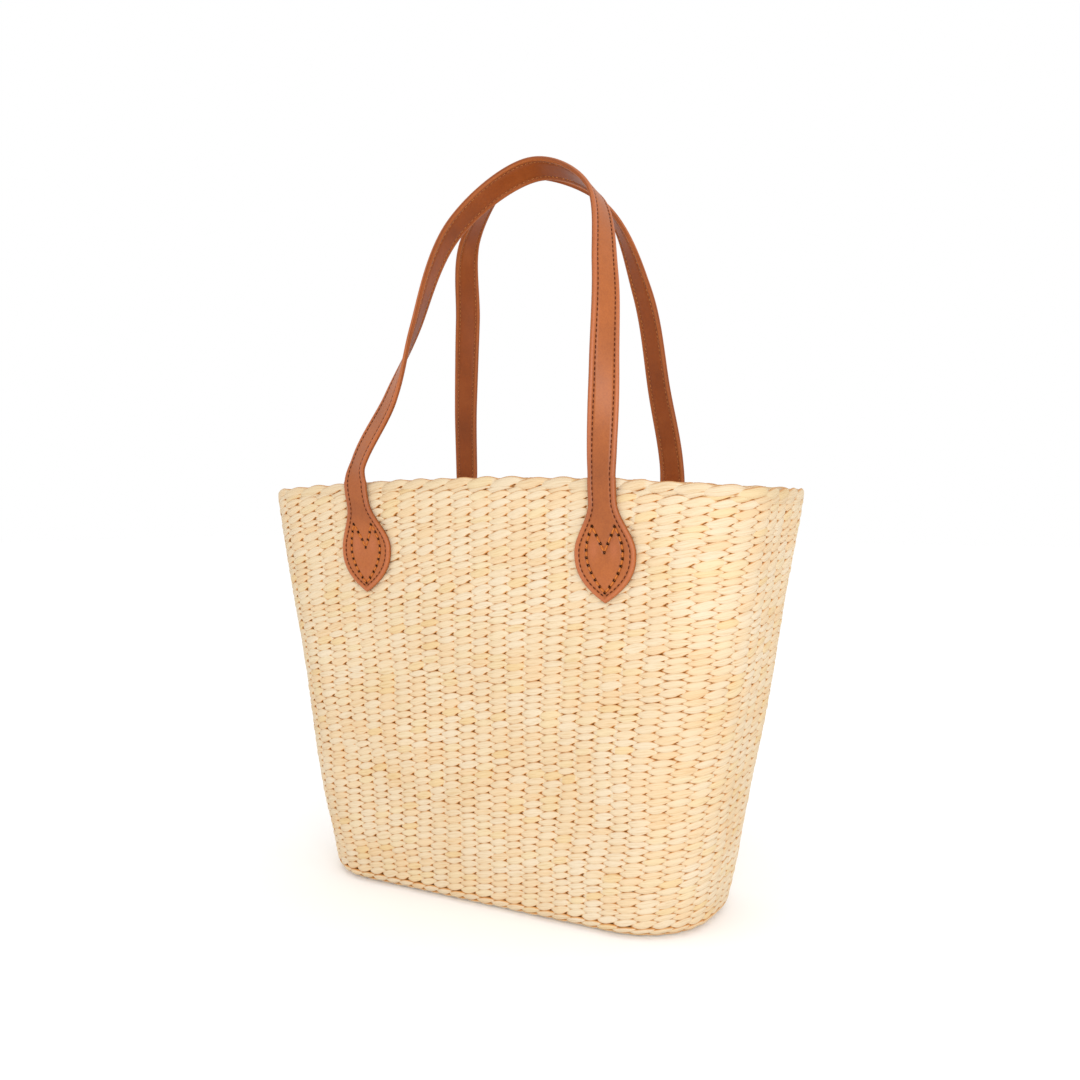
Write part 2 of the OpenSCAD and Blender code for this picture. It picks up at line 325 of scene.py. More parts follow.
# the second colour is the painted highlight; the third serves the painted shade and the dark end of the
# random tone
LEATHER = leather_material("cognac leather", srgb(168, 91, 36), srgb(182, 103, 62), srgb(100, 44, 14), 0.42)
LINING = leather_material("leather lining", srgb(140, 68, 20), srgb(172, 96, 44), srgb(84, 38, 10), 0.22)
EDGE_THREAD = thread_material("edge thread", srgb(100, 44, 20), srgb(56, 22, 10), 300.0)
LINING_THREAD = thread_material("lining thread", srgb(192, 122, 68), srgb(112, 58, 28), 300.0)
RING_THREAD = thread_material("ring thread", srgb(208, 124, 56), srgb(150, 78, 30), 420.0)


# ---- the basket's surface ----

def half_w(t):
    return mix(BASE_W, TOP_W, np.maximum(t, 0) ** FLARE) / 2


def half_d(t):
    return mix(BASE_D, TOP_D, np.maximum(t, 0) ** FLARE) / 2


def outline(a, b, r, q):
    """Points of a rounded rectangle, q from 0 to 1 counter-clockwise from the middle of the front."""
    q = np.mod(q, 1.0)
    k = np.floor(q * 4).astype(int)
    u = q * 4 - k
    even = k % 2 == 0
    s = (a + b + (PI / 2 - 2) * r) * np.where(even, u, 1 - u)
    side = a - r
    arc = s - side
    turn = np.clip(arc / r, 0, PI / 2)
    x = np.where(s < side, s, side + r * np.sin(turn))
    y = np.where(turn < PI / 2, r - b - r * np.cos(turn), r - b + arc - r * PI / 2)
    x = np.where((s >= side) & (turn >= PI / 2), a, x)
    return x * np.where(k < 2, 1, -1), y * np.where(k < 2, 1, -1) * np.where(even, 1, -1)


CURL_MID = CURL_R - WALL_T / 2
CURL_LEN = CURL_MID * PI / 2
WALL_LEN = BASKET_H - ROPE_D - GAP - CURL_R


def wall_point(q, s):
    """The middle of the wall, s along its profile from the edge of the flat base."""
    turn = np.clip(s / CURL_MID, 0, PI / 2)
    up = s - CURL_LEN
    z = np.where(up < 0, CURL_R - CURL_MID * np.cos(turn), CURL_R + up)
    inset = np.where(up < 0, WALL_T / 2 + CURL_MID * (1 - np.sin(turn)), WALL_T / 2)
    t = z / BASKET_H
    a = half_w(t)
    x, y = outline(a - inset, half_d(t) - inset, mix(BASE_R, TOP_R, t) - inset, q)
    return np.stack([x, y, z + z / BASKET_H * RIM_RISE * (1 - (x / a) ** 2)], -1)


def base_point(q, s):
    """The middle of the base, s inward from its edge."""
    inset = CURL_R + GAP + s
    x, y = outline(BASE_W / 2 - inset, BASE_D / 2 - inset, np.maximum(BASE_R - inset, 1.5), q)
    return np.stack([x, y, np.full_like(x, WALL_T / 2)], -1)


def rim_point(q, s):
    """The centre line of the rim rope, s above it."""
    a = half_w(1.0)
    inset = ROPE_D / 2 + GAP
    x, y = outline(a - inset, half_d(1.0) - inset, TOP_R - inset, q)
    return np.stack([x, y, BASKET_H - ROPE_D / 2 + s + RIM_RISE * (1 - (x / a) ** 2)], -1)


def frame_of(point, q, s):
    """Point, outward normal and up-the-weave direction."""
    p = point(q, s)
    along = unit(point(q + 0.0015, s) - point(q - 0.0015, s))
    up = unit(point(q, s + 0.5) - point(q, s - 0.5))
    return p, unit(np.cross(along, up)), up


def wander(q, s, seed, waves=5):
    """A slow random swell over the surface, about -1 to 1."""
    r = np.random.default_rng(seed)
    total = 0
    for _ in range(waves):
        total = total + np.sin(2 * PI * (r.integers(1, 7) * q + s / r.uniform(110, 320) + r.random()))
    return total / waves


MOST_SLACK = 2.6


def slack(p, q, s):
    """How far the soft wall swells in or out; it lies still behind the leather and near the rim and base."""
    free = 1 - smooth(s, 200, 240) * smooth(np.abs(p[..., 1]), 50, 66)
    return MOST_SLACK * wander(q, s, 3) * free * smooth(s, 5, 60) * (1 - smooth(s, 285, 310))


# ---- weaving ----

SEGMENTS = 8                # rings of points for each column of the weave
SIDES = 10                  # points in each ring
TIP = 0.72                  # how far a lobe outside reaches to each side of its middle, in columns
INNER_TIP = 0.66            # the same for a lobe that shows inside the basket
DWELL = 0.78                # how long a strand stays outside or inside before it crosses over
LOBE_HEIGHT = (1.20, 1.44)  # in rows: over 1, so that neighbouring rows overlap
LOBE_OUT = (-0.40, 0.05)    # how far a lobe's crown may be from its strand's reach
CROSSING_T = 0.55           # thickness at a crossing, as a part of that at the crown
GAP_SHADOW_AWAY = 0.33            # where the painted shadow under a lobe's lower edge is darkest, in columns from its middle
GAP_SHADOW_DEPTH = 1.1            # how far that painted shadow darkens the straw along its shade ramp


def superellipse(power, sides):
    a = (np.arange(sides) + 0.5) * 2 * PI / sides
    c, s = np.cos(a), np.sin(a)
    return np.sign(c) * np.abs(c) ** (2 / power), np.sign(s) * np.abs(s) ** (2 / power)


def lobe_values(columns, phase, low, high):
    """One random number for each lobe of a closed strand, read at the strand's own phase."""
    table = rng.uniform(low, high, 2 * columns)
    return table[np.round(phase / PI).astype(int) % columns]


def stray(q, s):
    """How far the columns of the weave wander sideways, in columns."""
    return 0.25 * wander(q, s * 1.6, 21) + 0.08 * wander(q, s * 4.0, 22)


def row_strand(point, level, pitch, columns, which, wall, slant,
               reach=1.75, thickness=1.25, foot=0.25, crest=0.0):
    """One of a row's two strands: rings of points with their depth and edge, which set the straw's painted
    shade, and tint.

    reach is how far its centre line swings to each side of the surface. foot is the part of its height that
    doesn't taper towards a crossing. crest is how much its top counts as outside when depth is worked out.
    """
    count = columns * SEGMENTS
    u = np.arange(count) / SEGMENTS
    q = u / columns
    q = q + (stray(q, level) + 0.05 * math.sin(level * 9.7)) / columns
    phase = PI * (u - 0.5 + which)
    away = np.abs(np.mod(u - 0.5 + which + 1, 2) - 1)
    ahead = np.sin(phase) > 0
    turn = phase - DWELL * np.sin(phase)
    crown = np.abs(np.cos(turn))
    outer = away < TIP
    taper = np.where(outer, 1 - (away / TIP) ** 1.6, 1 - (np.maximum(1 - away, 0) / (1 - TIP)) ** 2)
    inner = np.maximum(taper, 1 - (np.maximum(1 - away, 0) / INNER_TIP) ** 1.7)
    full = lobe_values(columns, phase, *LOBE_HEIGHT) - foot
    thick = thickness * mix(CROSSING_T, 1.0, crown)
    lift = pitch * slant * np.sin(phase) + pitch * 0.06 * lobe_values(columns, phase, -1, 1) * crown
    out = np.sign(np.cos(turn)) * crown ** 0.8 * (reach + lobe_values(columns, phase, *LOBE_OUT))
    p, normal, up = frame_of(point, q, level + 0.45 * wander(q, level, 5))
    if wall:
        p = p + normal * slack(p, q, level)[:, None]
    else:
        up = unit(np.cross(normal, np.roll(p, -1, 0) - np.roll(p, 1, 0)))
    across, tall = superellipse(2.2, SIDES)
    back = np.minimum(out - thick, -(reach + thickness) * np.clip((away - 0.40) / 0.60, 0, 1) ** 0.4)
    dn = out[:, None] + np.where(across > 0, thick[:, None], (out - back)[:, None]) * across[None]
    height = pitch * 0.5 * (foot + full[:, None] * np.where(across > 0, taper[:, None], inner[:, None]))
    du = lift[:, None] + height * tall[None]
    points = p[:, None] + normal[:, None] * dn[..., None] + up[:, None] * du[..., None]
    # depth sets the straw's painted shade: points further in between the strands are coloured darker, and
    # crest keeps a strand's top light
    depth = np.hypot(dn / (reach + thickness), crest * np.maximum(du, 0) / pitch)
    # painted gap shadow: a dark spot low on each lobe, stronger on one side of it
    gap_shadow = np.clip(1.6 - np.abs(away - GAP_SHADOW_AWAY) / 0.08, 0, 1) * mix(0.35, 1, ahead)
    gap_shadow = gap_shadow * lobe_values(columns, phase, 0.2, 1.0)
    depth = depth - GAP_SHADOW_DEPTH * gap_shadow[:, None] * np.clip(-tall[None] * 3 - 1.4, 0, 1)
    tint = np.repeat(lobe_values(columns, phase, 0.0, 1.0)[:, None], SIDES, 1)
    return points, depth, np.repeat(np.abs(tall)[None], count, 0), tint


def folded(ring, rings, folds):
    """Which of its folds each corner of a long strip falls in, and how far along that fold it is."""
    part = np.minimum(ring[:, :1] * folds // rings, folds - 1)
    first = np.ceil(part * rings / folds)
    return part, np.clip((ring - first) * folds / (rings + folds), 0, 1)


def strands_object(name, strands, folds, material, replaces):
    """All the strands of a band as one mesh, with fibre and bake coordinates."""
    points, quads, depths, edges, tints, fibre, bake = [], [], [], [], [], [], []
    start = 0
    lanes = len(strands) * folds
    for number, (p, depth, edge, tint) in enumerate(strands):
        rings, sides = p.shape[:2]
        faces, ring, side = tube_quads(rings, sides, True)
        step = float(np.linalg.norm(np.diff(p.mean(1), axis=0), axis=1).mean())
        around = float(np.linalg.norm(p[0] - np.roll(p[0], 1, 0), axis=1).sum())
        shift = rng.uniform(0, 900, 2)
        fibre.append(np.stack([ring * step + shift[0], side * around / sides + shift[1]], -1).reshape(-1, 2))
        part, along = folded(ring, rings, folds)
        lane = number * folds + part
        bake.append(np.stack([0.002 + 0.996 * along,
                              (lane + 0.06 + 0.88 * side / sides) / lanes], -1).reshape(-1, 2))
        points.append(p.reshape(-1, 3))
        quads.append(faces + start)
        depths.append(depth.ravel())
        edges.append(edge.ravel())
        tints.append(tint.ravel())
        start += rings * sides
    obj = make_mesh(name, np.concatenate(points), np.concatenate(quads), material,
                    values={"depth": np.concatenate(depths), "edge": np.concatenate(edges),
                            "tint": np.concatenate(tints)},
                    uvs={"Fibre": np.concatenate(fibre), "OFBake": np.concatenate(bake)})
    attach(obj, "basket")
    if replaces:
        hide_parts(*replaces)
    return obj


def row_levels(length, first, last, spread):
    """Centres and heights of rows that fill a length, growing from first to last, each a little uneven."""
    count = round(length / ((first + last) / 2))
    uneven = np.linspace(spread / 2, spread, count) * rng.uniform(-1, 1, count)
    pitch = np.linspace(first, last, count) * (1 + uneven)
    pitch *= length / pitch.sum()
    return np.cumsum(pitch) - pitch / 2, pitch


levels, pitches = row_levels(CURL_LEN + WALL_LEN, 5.1, 5.9, 0.22)
slants = mix(0.21, 0.27, smooth(levels, 160, 290))
BANDS = 7
PAIR = (0, 1)
for band in range(BANDS):
    rows = np.arange(band * len(levels) // BANDS, (band + 1) * len(levels) // BANDS)
    strands = [row_strand(wall_point, levels[r], pitches[r], COLUMNS, j, True, slants[r])
               for r in rows for j in PAIR]
    replaced = ["woven_wall"] if band == 0 else []
    strands_object(f"weave_band_{band + 1}", strands, 3, STRAW, replaced)

BASE_COLUMN = 13.0   # width of one column in the base
BASE_TALL = 1.25     # how much taller its rows are than their spacing, so that they overlap
UNDER_WALL = 0.8     # how far its first row reaches past its edge, under the wall
base_reach = BASE_D / 2 - CURL_R - GAP - 0.2
levels, pitches = row_levels(base_reach + UNDER_WALL, 5.4, 5.4, 0.06)
strands = []
for level, pitch in zip(levels - UNDER_WALL, pitches):
    ring = base_point(np.linspace(0, 1, 200), level)
    columns = 2 * round(np.linalg.norm(np.diff(ring, axis=0), axis=1).sum() / (2 * BASE_COLUMN))
    strands += [row_strand(base_point, level, pitch * BASE_TALL, columns, j, False, 0.18, foot=0.7)
                for j in PAIR]
strands_object("weave_base", strands, 1, STRAW, ["woven_base"])

# The rim is one thick twisted row over a thin one.
RIM_COLUMNS = COLUMNS - 12
rim_strands = [row_strand(rim_point, 0.9, 6.4, RIM_COLUMNS, j, False, 0.22,
                          reach=2.0, thickness=2.2, foot=0.65, crest=1.5) for j in PAIR]
rim_strands += [row_strand(rim_point, -3.2, 4.4, COLUMNS, j, False, 0.35,
                           reach=1.9, thickness=1.6, foot=0.4) for j in PAIR]
strands_object("rim_twist", rim_strands, 3, ROPE, ["rim_rope"])


STAKE_RINGS = 40
STAKE_SHAPE = [(-1, -1), (1, -1), (1, 1), (-1, 1)]
STAKE_POINTS = STAKE_RINGS * len(STAKE_SHAPE)


def stake_strip(k):
    """A flattened stake, upright in the middle of the wall."""
    s = np.linspace(3, CURL_LEN + WALL_LEN - 1, STAKE_RINGS)
    q = np.full_like(s, (k + 0.5) / COLUMNS)
    q = q + stray(q, s) / COLUMNS
    p, normal, up = frame_of(wall_point, q, s)
    p = p + normal * slack(p, q, s)[:, None]
    along = np.cross(up, normal)
    wide = 2.3 + 0.3 * np.sin(s / 23 + 2 * k)
    return np.stack([p + along * (wide * x)[:, None] + normal * 0.42 * y for x, y in STAKE_SHAPE], 1)


stake_points = np.stack([stake_strip(k) for k in range(COLUMNS)])
faces, ring, side = tube_quads(STAKE_RINGS, 4, False)
caps = np.array([[3, 2, 1, 0], STAKE_POINTS - 4 + np.arange(4)])
stake_faces = np.concatenate([np.concatenate([faces, caps]) + STAKE_POINTS * k for k in range(COLUMNS)])
cap_uv = np.zeros((8, 2))
corner = np.concatenate([np.stack([ring * 8.0, side * 2.5], -1).reshape(-1, 2), cap_uv])
lane = np.stack([ring / (STAKE_RINGS - 1.0), 0.05 + 0.9 * side / 4], -1).reshape(-1, 2)
lane = np.concatenate([lane, cap_uv])
stakes = make_mesh(
    "stake_strips", stake_points.reshape(-1, 3), stake_faces, STAKE,
    values={"depth": np.full(STAKE_POINTS * COLUMNS, 0.4), "edge": np.zeros(STAKE_POINTS * COLUMNS),
            "tint": np.repeat(rng.random(COLUMNS), STAKE_POINTS)},
    uvs={"Fibre": np.concatenate([corner + (k * 37.0, k * 11.0) for k in range(COLUMNS)]),
         "OFBake": np.concatenate([(lane + (0, k)) / (1, COLUMNS) for k in range(COLUMNS)])})
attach(stakes, "basket")
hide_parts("stakes")


# ---- leather ----

def leaf_half(v):
    """Half the width of a leaf and its neck, v up from the leaf's tip."""
    low = LEAF_W / 2 * (1 - np.clip(1 - v / LEAF_LOW, 0, 1) ** TIP_POWER)
    high = mix(STRAP_W, LEAF_W, 0.5 + 0.5 * np.cos(PI * np.clip((v - LEAF_LOW) / LEAF_HIGH, 0, 1))) / 2
    return np.where(v < LEAF_LOW, low, high)


def face_y(z):
    """How far the wall's face is from the bag's middle plane, at the leaves' places along it."""
    return half_d(z / (BASKET_H + RIM_RISE * 0.8))


SLOPE = math.atan((face_y(HINGE_Z) - face_y(LEAF_TIP_Z)) / (HINGE_Z - LEAF_TIP_Z))


def on_front(x, v, h):
    """A point of a leaf tab: x along the wall, v up it from the leaf's tip, h out from it."""
    x, v, h = np.broadcast_arrays(np.asarray(x, float), v, h)
    return np.stack([x, -face_y(LEAF_TIP_Z) - GAP - v * math.sin(SLOPE) - h * math.cos(SLOPE),
                     LEAF_TIP_Z + v * math.cos(SLOPE) - h * math.sin(SLOPE)], -1)


def neck_lean(v, shift):
    """How far a neck leans sideways at v to meet its strap."""
    u = np.clip((v - LEAF_LOW) / (NECK_TOP - LEAF_LOW), 0, 1)
    return shift * (0.5 - 0.5 * np.cos(PI * u))


def strap_path(route, steps=30):
    """Places along a strap with their turn in degrees, through the knots."""
    k = np.array(route, float)
    first = [k[1, 0], 2 * k[0, 1] - k[1, 1], k[0, 2]]
    final = [k[-2, 0], 2 * k[-1, 1] - k[-2, 1], k[-1, 2]]
    k = np.vstack([first, k, final])
    t = np.linspace(0, 1, steps, endpoint=False)[:, None]
    spans = [0.5 * (2 * b + (c - a) * t + (2 * a - 5 * b + 4 * c - d) * t ** 2
                    + (3 * b - a - 3 * c + d) * t ** 3)
             for a, b, c, d in zip(k[:-3], k[1:-2], k[2:-1], k[3:])]
    flat = np.vstack(spans + [k[-2:-1]])
    y = HANDLE_LEAN * (flat[:, 1] / flat[:, 1].max()) ** 3 - STRAP_Y
    return np.stack([flat[:, 0], y, HINGE_Z + flat[:, 1]], 1), flat[:, 2]


def carried_frames(p, turn):
    """Across and outward directions along a path, turned about it by the given degrees."""
    t = np.gradient(p, axis=0)
    t[0], t[-1] = (0, 0, 1), (0, 0, -1)
    t = unit(t)
    e = np.array([1.0, 0, 0])
    across = []
    for d in t:
        e = unit(e - d * (e @ d))
        across.append(e)
    e = np.array(across)
    a = np.radians(turn)[:, None]
    w = e * np.cos(a) + np.cross(t, e) * np.sin(a)
    return w, np.cross(w, t)


def resample(values, length, places):
    return np.stack([np.interp(places, length, values[:, c]) for c in range(values.shape[1])], 1)


LEAF_ROWS = np.concatenate([[0.12, 0.3, 0.6, 1.0, 1.5, 2.1, 2.7, 3.3, 3.9], np.arange(4.6, NECK_TOP, 0.8)])
BEND = 36           # length of strap above the fold line that has finer rings, for the bend
BEND_STEP = 1.2     # between those rings
CREST_STEP = 3.2    # between the rest
FOLD_GAP = 0.8      # between a neck's top and the start of the strap
LEAF_END = NECK_TOP + 12    # up to here the distance to the edge is measured to the leaf's outline


class Handle:
    """The doubled strip of one handle, from the tip of its left leaf to the tip of its right leaf."""

    def __init__(self, side):
        route = ROUTES[side]
        tabs = [box_mm(f"{side}_{hand}_tab") for hand in ("left", "right")]
        sign = 1 if side == "front" else -1
        self.side, self.sign = side, sign
        self.tab_x = [sign * (lo[0] + hi[0]) / 2 for lo, hi in tabs]
        self.shift = [route[0][0] - self.tab_x[0], route[-1][0] - self.tab_x[1]]
        path, turn = strap_path(route)
        length = np.concatenate([[0], np.cumsum(np.linalg.norm(np.diff(path, axis=0), axis=1))])
        far = np.minimum(length, length[-1] - length)
        w, out = carried_frames(path, turn * smooth(far, -5, 16))
        bend = np.arange(0, BEND, BEND_STEP)
        crest = np.linspace(BEND, length[-1] - BEND, round((length[-1] - 2 * BEND) / CREST_STEP))
        places = np.concatenate([bend, crest, length[-1] - bend[::-1]])
        path = resample(path, length, places)
        w = unit(resample(w, length, places))
        out = unit(resample(out, length, places))
        v = LEAF_ROWS
        ends = []
        for x, shift in zip(self.tab_x, self.shift):
            ends.append(on_front(x + neck_lean(v, shift), v, STACK_T / 2))
        leaf_w = np.tile([1.0, 0, 0], (len(v), 1))
        leaf_out = np.tile([0, -math.cos(SLOPE), -math.sin(SLOPE)], (len(v), 1))
        whole = 2 * (NECK_TOP + FOLD_GAP) + length[-1]
        self.p = np.vstack([ends[0], path, ends[1][::-1]])
        self.w = np.vstack([leaf_w, w, -leaf_w])
        self.out = np.vstack([leaf_out, out, leaf_out])
        run = np.concatenate([v, NECK_TOP + FOLD_GAP + places, whole - v[::-1]])
        self.from_end = np.minimum(run, whole - run)
        self.half = np.where(self.from_end < NECK_TOP, leaf_half(self.from_end), STRAP_W / 2)

    def place(self, points):
        """Turns local points to the handle's own side of the bag."""
        return points * np.array([self.sign, self.sign, 1.0])

    def fold(self, rise):
        """A place in metres at the handle's fold line, or a little above it."""
        return (0.0, -self.sign * STRAP_Y * MM, (HINGE_Z + rise) * MM)


def edge_distance(x, v):
    """Distance from points of the flat leaf (x across, v from its tip) to its outline."""
    rows = np.concatenate([np.linspace(0, 1, 8) ** 2 * 1.2, np.arange(1.6, NECK_TOP + 30, 1.1)])
    half = np.where(rows < NECK_TOP, leaf_half(rows), STRAP_W / 2)
    a = np.stack([half[:-1], rows[:-1]], 1)
    b = np.stack([half[1:], rows[1:]], 1)
    d = b - a
    p = np.stack([np.abs(x).ravel(), np.asarray(v, float).ravel()], 1)
    best = np.full(len(p), 1e9)
    for a0, d0 in zip(a, d):
        t = np.clip(((p - a0) @ d0) / (d0 @ d0), 0, 1)
        best = np.minimum(best, np.hypot(*(p - a0 - t[:, None] * d0).T))
    return best.reshape(np.shape(x))


def nearest(x, v, points_x, points_v):
    """Distance from points of the flat leaf to the nearest of the other points given."""
    best = np.full(x.shape, 1e9)
    for a, b in zip(points_x, points_v):
        best = np.minimum(best, np.hypot(x - a, v - b))
    return best


RING_HOLES = 24
RING_HALF_W = 14.3
RING_LOW, RING_HIGH, RING_NOTCH = 7.5, 54.0, 18.0


def ring_point(q):
    """The sewn ring on a leaf: a smaller leaf with a notched top, q from 0 to 1 around it from the tip."""
    q = np.mod(q, 1.0)
    s = np.where(q < 0.5, 2 * q, 2 - 2 * q)
    f, dip = np.minimum(1, s / 0.75), np.maximum(0, (s - 0.75) / 0.25)
    x = np.where(q < 0.5, 1, -1) * RING_HALF_W * np.sin(np.radians(142) * f) * (1 - dip)
    return x, mix(RING_LOW, RING_HIGH, f ** 1.1) - RING_NOTCH * dip


SEAM_IN = 4.0           # from the strip's edge to its seam
LIP_T = 1.95            # height of a layer's rolled edge over the plane between the layers
LIP_ROLL = 1.7          # width of the roll
CHANNEL = 0.60          # depth of the channel that the seam lies in
FIELD_DROP = 0.30       # how much lower the middle of the strip is than its lip


def edge_profile(d):
    """Height of one leather layer over the plane between the layers, d in from its edge."""
    roll = np.sqrt(np.clip(1 - (1 - np.clip(d / LIP_ROLL, 0, 1)) ** 2, 0, 1))
    channel = CHANNEL * np.exp(-((d - SEAM_IN) / 0.75) ** 2)
    return LIP_T * roll - FIELD_DROP * smooth(d, 2.0, 5.2) - channel


def strip_columns(half, step, middle_columns):
    """Places across the strip, finer near its edges, from left to right for each half width."""
    near = np.array([0, 0.08, 0.25, 0.5, 0.8, 1.15, 1.55, 2.0, 2.45, 2.9, 3.3, 3.65, 4.0, 4.35, 4.75, 5.4])
    near = near[::step]
    reach = near[-1]
    scale = np.minimum(1, half / (STRAP_W / 2))[:, None]
    left = -half[:, None] + near[None] * scale
    middle = np.linspace(-1, 1, middle_columns + 2)[1:-1]
    centre = middle[None] * (half[:, None] - reach * scale)
    return np.concatenate([left, centre, -left[:, ::-1]], 1)


def layer(handle, outward, step, middle_columns):
    """One leather layer of a handle as rings of points with its painted highlight, painted shade and
    near-black hole shade values.
    """
    x = strip_columns(handle.half, step, middle_columns)
    v = np.repeat(handle.from_end[:, None], x.shape[1], 1)
    d = handle.half[:, None] - np.abs(x)
    on_leaf = handle.from_end < LEAF_END
    d[on_leaf] = edge_distance(x[on_leaf], v[on_leaf])
    height = edge_profile(d)
    # painted shade along the seam channels
    sunk = 0.25 * np.exp(-((d - SEAM_IN) / 0.55) ** 2)
    # a painted highlight along the crest of the rolled lip
    raised = np.exp(-((d - 1.6) / 1.0) ** 2) * 0.8
    hole_shade = np.zeros_like(d)
    if outward > 0:
        # painted shade over a band of the upper leaf and neck
        sunk = np.maximum(sunk, 0.22 * (smooth(v, 48, 62) * (1 - smooth(v, 84, 130))))
        leaf = handle.from_end < RING_HIGH + 10
        lx, lv = x[leaf], v[leaf]
        groove = nearest(lx, lv, *ring_point(np.linspace(0, 1, 361)))
        hole = nearest(lx, lv, *ring_point(np.arange(RING_HOLES) / RING_HOLES))
        height[leaf] -= 0.65 * np.exp(-(groove / 1.5) ** 2) + 1.3 * np.exp(-(hole / 0.9) ** 2)
        # painted shade in the ring's channel
        sunk[leaf] = np.maximum(sunk[leaf], 0.45 * np.exp(-(groove / 0.7) ** 2))
        # near-black painted shade in the ring's holes
        hole_shade[leaf] = smooth(-hole, -1.5, -1.0)
        # a painted highlight on the shoulders inside the ring
        shoulders = np.exp(-((np.abs(lx) - 8.0) / 3.5) ** 2 - ((lv - 38.0) / 7.0) ** 2)
        raised[leaf] = np.maximum(raised[leaf], 0.55 * shoulders)
    lift = (outward * height)[..., None]
    p = handle.p[:, None] + handle.w[:, None] * x[..., None] + handle.out[:, None] * lift
    return p, raised, sunk, hole_shade


def strip_uv(ring, side, rings, sides, folds):
    """Bake coordinates of a long strip, folded into lanes."""
    part, along = folded(ring, rings, folds)
    across = (part + 0.04 + 0.92 * side / sides) / folds
    return np.stack([0.004 + 0.99 * along, across], -1).reshape(-1, 2)


def leather_object(name, handle, outward, step, middle_columns, material, replaces):
    p, raised, sunk, hole_shade = layer(handle, outward, step, middle_columns)
    rings, sides = p.shape[:2]
    faces, ring, side = tube_quads(rings, sides, False)
    caps = end_caps(rings, sides)
    if outward > 0:
        faces, ring, side, caps = faces[:, ::-1], ring[:, ::-1], side[:, ::-1], caps[:, ::-1]
    obj = make_mesh(name, handle.place(p.reshape(-1, 3)), faces, material, tris=caps,
                    values={"raised": raised, "sunk": sunk, "hole": hole_shade},
                    uvs={"OFBake": strip_uv(ring, side, rings, sides, 6)})
    handle.fold(0.5)
    handle.fold(32.0)
    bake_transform(obj)
    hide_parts(*replaces)
    return obj


# ---- stitches ----

def capsules(centres, along, out, length, width, sag, sides=6):
    """Rows of thread stitches: each a short rounded bar whose ends dip into the leather."""
    t = np.array([-1.0, -0.86, -0.45, 0.0, 0.45, 0.86, 1.0])
    thick = np.array([0.35, 0.8, 1.0, 1.05, 1.0, 0.8, 0.35]) * width / 2
    dip = -sag * np.abs(t) ** 2.5
    across = np.cross(out, along)
    run = (t * length / 2)[None, :, None]
    line = centres[:, None] + along[:, None] * run + out[:, None] * dip[None, :, None]
    a = (np.arange(sides) * 2 * PI / sides)[None, None, :, None]
    ring = across[:, None, None] * np.cos(a) + out[:, None, None] * np.sin(a)
    points = line[:, :, None] + ring * thick[None, :, None, None]
    rings = len(t)
    faces, _, _ = tube_quads(rings, sides, False)
    caps = end_caps(rings, sides)
    base = np.arange(len(centres))[:, None, None] * rings * sides
    return points.reshape(-1, 3), (faces[None] + base).reshape(-1, 4), (caps[None] + base).reshape(-1, 3)


def join_parts(parts):
    """Points, quads and triangles of several parts as one."""
    points, quads, tris, start = [], [], [], 0
    for p, f, c in parts:
        points.append(p)
        quads.append(f + start)
        tris.append(c + start)
        start += len(p)
    return np.concatenate(points), np.concatenate(quads), np.concatenate(tris)


def seam_line(handle, hand):
    """Rows of the strip with the place across them where one edge seam lies, SEAM_IN from the edge."""
    rows, places = [], []
    for i, (half, v) in enumerate(zip(handle.half, handle.from_end)):
        x = np.linspace(max(half - 9, 0), half, 60)
        d = edge_distance(x, np.full_like(x, v)) if v < LEAF_END else half - x
        k = int(np.argmax(d < SEAM_IN))
        if k > 0:
            rows.append(i)
            places.append(mix(x[k - 1], x[k], (d[k - 1] - SEAM_IN) / (d[k - 1] - d[k])))
    return np.array(rows), hand * np.array(places)


SEAM_ENDS = 1.2                     # from each end of a seam to its nearest stitch
STITCH_LIFT = {1: 0.16, -1: 0.24}   # over the floor of the channel, outside and on the lining
STITCH_SHIFT = 0.12                 # how unevenly the stitches are spaced


def stitches_object(name, handle, outward, pitch, length, width, material, replaces):
    """The machine-sewn stitches along both edges of one leather layer."""
    parts = []
    for hand in (-1, 1):
        rows, x = seam_line(handle, hand)
        lift = outward * (edge_profile(np.array(SEAM_IN)) + STITCH_LIFT[outward])
        line = handle.p[rows] + handle.w[rows] * x[:, None] + handle.out[rows] * lift
        run = np.concatenate([[0], np.cumsum(np.linalg.norm(np.diff(line, axis=0), axis=1))])
        count = round((run[-1] - 2 * SEAM_ENDS) / pitch) + 1
        places = np.linspace(SEAM_ENDS, run[-1] - SEAM_ENDS, count)
        places[1:-1] += rng.uniform(-STITCH_SHIFT, STITCH_SHIFT, len(places) - 2)
        centre = resample(line, run, places)
        ahead = resample(line, run, places + 0.8) - resample(line, run, places - 0.8)
        out = unit(resample(handle.out[rows], run, places)) * outward
        along = unit(ahead)
        out = unit(out - along * (out * along).sum(1, keepdims=True))
        parts.append(capsules(centre, along, out, length, width, sag=0.30))
    points, quads, tris = join_parts(parts)
    obj = make_mesh(name, handle.place(points), quads, material, tris=tris)
    handle.fold(0.5)
    handle.fold(32.0)
    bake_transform(obj)
    if replaces:
        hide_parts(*replaces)


THREAD_W, THREAD_SAG = 1.4, 0.45
THREAD_SHORT = 1.9      # how much shorter a stitch of the ring is than the distance between its holes


